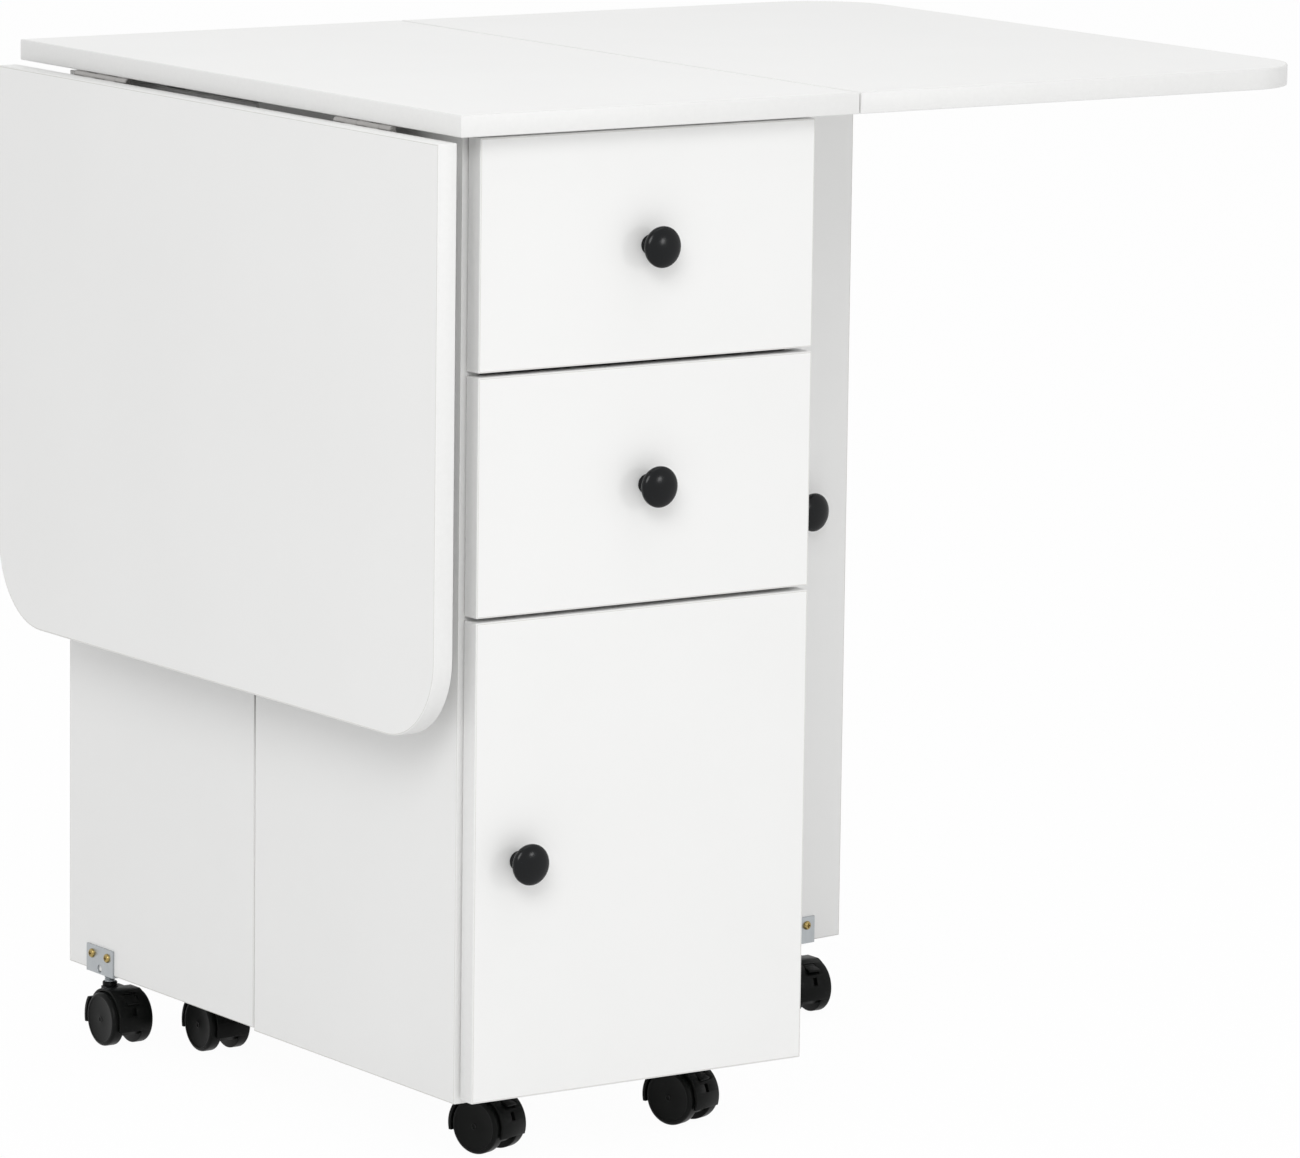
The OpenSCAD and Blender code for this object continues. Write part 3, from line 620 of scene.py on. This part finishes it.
for side in ("left", "right"):
    node = side + "_gate_bracket"
    made = welded(node)
    largest_solid(made)
    softened(made, offset=0.0003)
    placed(made, node + "_plate", body_of[node], [plated_steel], [node])

    made = bmesh.new()
    for y in bracket_screw_ys:
        seat = pointing((bracket_face_x, y, bracket_screw_z), (1, 0, 0))
        screw_head(made, on_gate(side) @ seat, radius=0.0034, height=0.0019, recess=0.0012)
    placed(made, node + "_screws", body_of[node], [yellow_zinc])

    made = threaded_stem(stem_foot_z, gate_stem_top_z)
    moved(made, on_gate(side) @ Matrix.Translation(gate_stem_place))
    placed(made, node + "_stem", body_of[node], [plated_steel])

    node = side + "_gate_glide"
    made = welded(node)
    softened(made, offset=0.0006)
    placed(made, node + "_block", body_of[node], [nylon], [node])


# ------------------------------------------------------------------ casters
# Six twin-wheel casters of black nylon. A hood with a fender swivels on the steel
# stem, and the wheels have flat covers inside a low rim. Four have a brake lever.
casters = [name.removesuffix("_swivel") for name in joint_of if name.endswith("_swivel")]
wheel_radius, half_width, half_web = 0.020, 0.01725, 0.0079
tread_rounding, web_rounding = 0.0024, 0.0008
rim_inside, rim_rounding = 0.0168, 0.0003
cover_radius, cover_z = 0.0162, half_width - 0.0005
boss_radius = 0.0032
ring_radius, ring_half, ring_rise = 0.0019, 0.0006, 0.0003
axle_end_radius, axle_end_z = 0.0011, half_width - 0.0006
axle_behind, axle_radius, axle_length = 0.015, 0.0025, 0.0279
wheel_profile = (
    [(0, half_web), (wheel_radius - web_rounding, half_web)]
    + arc(
        wheel_radius - web_rounding, half_web + web_rounding, web_rounding, web_rounding,
        -60, 0, 3,
    )
    + arc(
        wheel_radius - tread_rounding, half_width - tread_rounding,
        tread_rounding, tread_rounding, 0, 90, 8,
    )
    + arc(
        rim_inside + rim_rounding, half_width - rim_rounding, rim_rounding, rim_rounding,
        90, 180, 4,
    )
    + [(cover_radius, cover_z), (boss_radius, cover_z)]
    + arc(ring_radius, cover_z, ring_half, ring_rise, 10, 170, 6)
    + [(axle_end_radius, axle_end_z), (0, axle_end_z)]
)
lay_across = Matrix.Translation((0, -axle_behind, wheel_radius)) @ Matrix.Rotation(
    math.pi / 2, 4, "Y"
)


def caster_matrix(name):
    """Takes a caster drawn at the origin, trailing along -Y, to its place."""
    across = Vector(joint_of[name + "_wheels_turn"]["axis"])
    stem = joint_of[name + "_swivel"]["pos_m"]
    turn = Matrix.Rotation(math.atan2(across.y, across.x), 4, "Z")
    return Matrix.Translation((stem[0], stem[1], 0)) @ turn


for name in casters:
    made = turned(wheel_profile, steps=72)
    copy = bmesh.ops.duplicate(made, geom=made.verts[:] + made.edges[:] + made.faces[:])
    twin = [part for part in copy["geom"] if isinstance(part, bmesh.types.BMVert)]
    bmesh.ops.transform(made, matrix=Matrix.Diagonal((1, 1, -1, 1)), verts=twin)
    bmesh.ops.create_cone(
        made, cap_ends=True, segments=24, radius1=axle_radius, radius2=axle_radius,
        depth=axle_length,
    )
    moved(made, caster_matrix(name) @ lay_across)
    node = name + "_wheels"
    placed(
        made, node + "_turned", body_of[node], [nylon], [node], sharp=40
    )

    for part, form in (("_hood", "_moulded"), ("_brake", "_lever")):
        node = name + part
        if node in body_of:
            made = welded(node)
            softened(made, offset=0.0004, above=50)
            placed(made, node + form, body_of[node], [nylon], [node])

made = bmesh.new()
for name in casters:
    if "gate" in name:
        continue
    stem = threaded_stem(stem_foot_z, cabinet_stem_top_z)
    moved(stem, caster_matrix(name))
    loose = bpy.data.meshes.new("stem")
    stem.to_mesh(loose)
    stem.free()
    made.from_mesh(loose)
    bpy.data.meshes.remove(loose)
placed(
    made, "caster_stems_threaded", "cabinet", [plated_steel],
    ["caster_stems"],
)


# ------------------------------------------------------------------ studio
# A white floor and a white surround, lit by a broad key lamp at the front left, a
# small lamp at the front right and a broad one overhead. The camera sees pure white
# behind the table, and the floor keeps a faint shadow.
floor_half = 20
floor_glow = 0.97
surround_light = 0.68


def seen_rays(nodes, least):
    """1 for rays that the camera sends out, also by way of gloss or glass."""
    seen = least
    for ray in ("Is Camera Ray", "Is Glossy Ray", "Is Transmission Ray"):
        from_ray = nodes.node("LightPath", output=ray)
        seen = from_ray.joined("MAXIMUM", from_ray, seen)
    return seen


floor_mesh = bmesh.new()
bmesh.ops.create_grid(floor_mesh, x_segments=1, y_segments=1, size=floor_half)
floor_data = bpy.data.meshes.new("floor")
floor_mesh.to_mesh(floor_data)
floor_mesh.free()
floor = bpy.data.objects.new("floor", floor_data)
bpy.context.scene.collection.objects.link(floor)

floor_paint = Finish("floor_paint", (0.88, 0.88, 0.88), 0.9)
plain = Amount(floor_paint, floor_paint.shader.outputs["BSDF"])
glow = floor_paint.node("Emission", inputs={"Color": (1, 1, 1, 1), "Strength": 1.0})
lit = floor_paint.node(
    "MixShader", inputs={0: floor_glow * seen_rays(floor_paint, 0.0), 1: plain, 2: glow}
)
floor_paint.feed(floor_paint.tree.nodes["Material Output"].inputs["Surface"], lit)
floor_data.materials.append(floor_paint.material)

world = bpy.data.worlds.new("studio")
bpy.context.scene.world = world
world.use_nodes = True
surround = Nodes(world.node_tree)
background = surround.tree.nodes["Background"]
surround.feed(background.inputs["Color"], (1, 1, 1, 1))
surround.feed(background.inputs["Strength"], seen_rays(surround, surround_light))

lamp_target = Vector((0.1, 0, 0.4))


def lamp(name, place, size, watts):
    """A round soft lamp at a place, turned to the middle of the table."""
    data = bpy.data.lights.new(name, "AREA")
    data.shape = "DISK"
    data.size = size
    data.energy = watts
    made = bpy.data.objects.new(name, data)
    bpy.context.scene.collection.objects.link(made)
    made.matrix_world = pointing(place, Vector(place) - lamp_target)


lamp("key_lamp", place=(-2.3, -2.9, 2.5), size=2.0, watts=58)
lamp("right_lamp", place=(1.2, -3.0, 0.95), size=0.5, watts=5.5)
lamp("top_lamp", place=(0.3, -0.4, 3.4), size=2.6, watts=15)

bpy.context.scene.view_settings.view_transform = "Standard"
